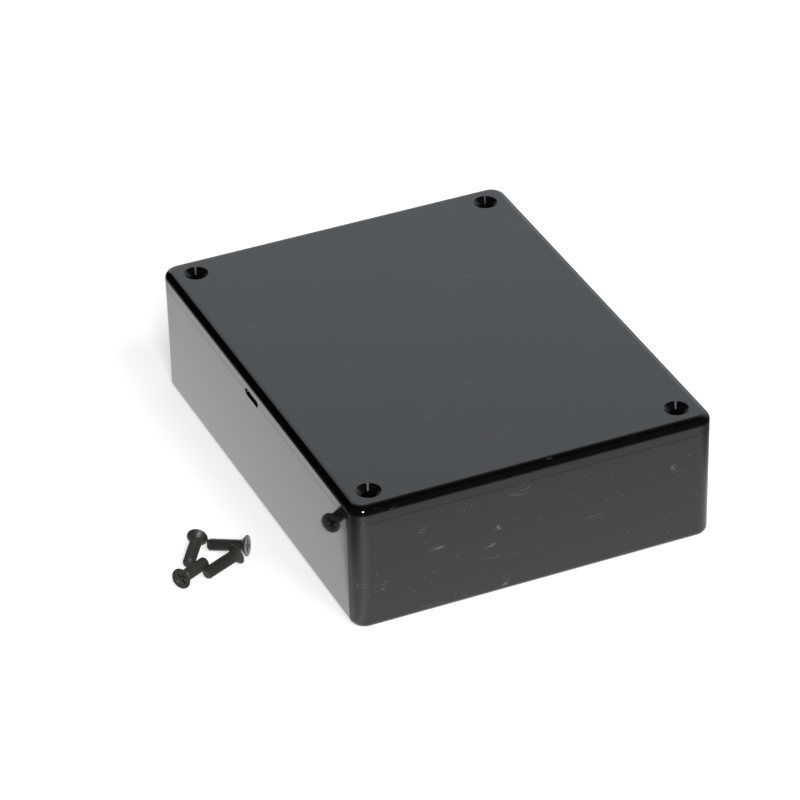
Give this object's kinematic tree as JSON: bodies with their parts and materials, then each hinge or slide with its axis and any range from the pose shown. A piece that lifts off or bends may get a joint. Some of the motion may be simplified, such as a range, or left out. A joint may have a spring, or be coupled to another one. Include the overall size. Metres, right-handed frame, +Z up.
{
  "type": "plastic project box",
  "caption": "Low rectangular moulded box with rounded edges, a lift-off lid with countersunk corner holes, threaded inserts in its corner bosses, and its loose lid screws beside it.",
  "frame": {"origin": "middle of the base's flat underside", "axes": "+Z up through the lid, Y along the box's longer sides, X across it; the loose screws lie on the -X side"},
  "size_m": [0.1257, 0.121, 0.034],
  "materials": {
    "abs": "gloss black moulded ABS",
    "brass": "turned, bare",
    "black_steel": "black oxide, oiled"
  },
  "bodies": {
    "base": {"base": "abs", "insert_front_left": "brass", "insert_front_right": "brass", "insert_back_left": "brass", "insert_back_right": "brass", "screw_1": "black_steel", "screw_2": "black_steel", "screw_3": "black_steel", "screw_4": "black_steel"},
    "lid": {"lid": "abs"}
  },
  "joints": [
    {"name": "lid_lift", "type": "slide", "parent": "base", "child": "lid", "axis": [0, 0, 1], "range_m": [0, 0.08]}
  ]
}
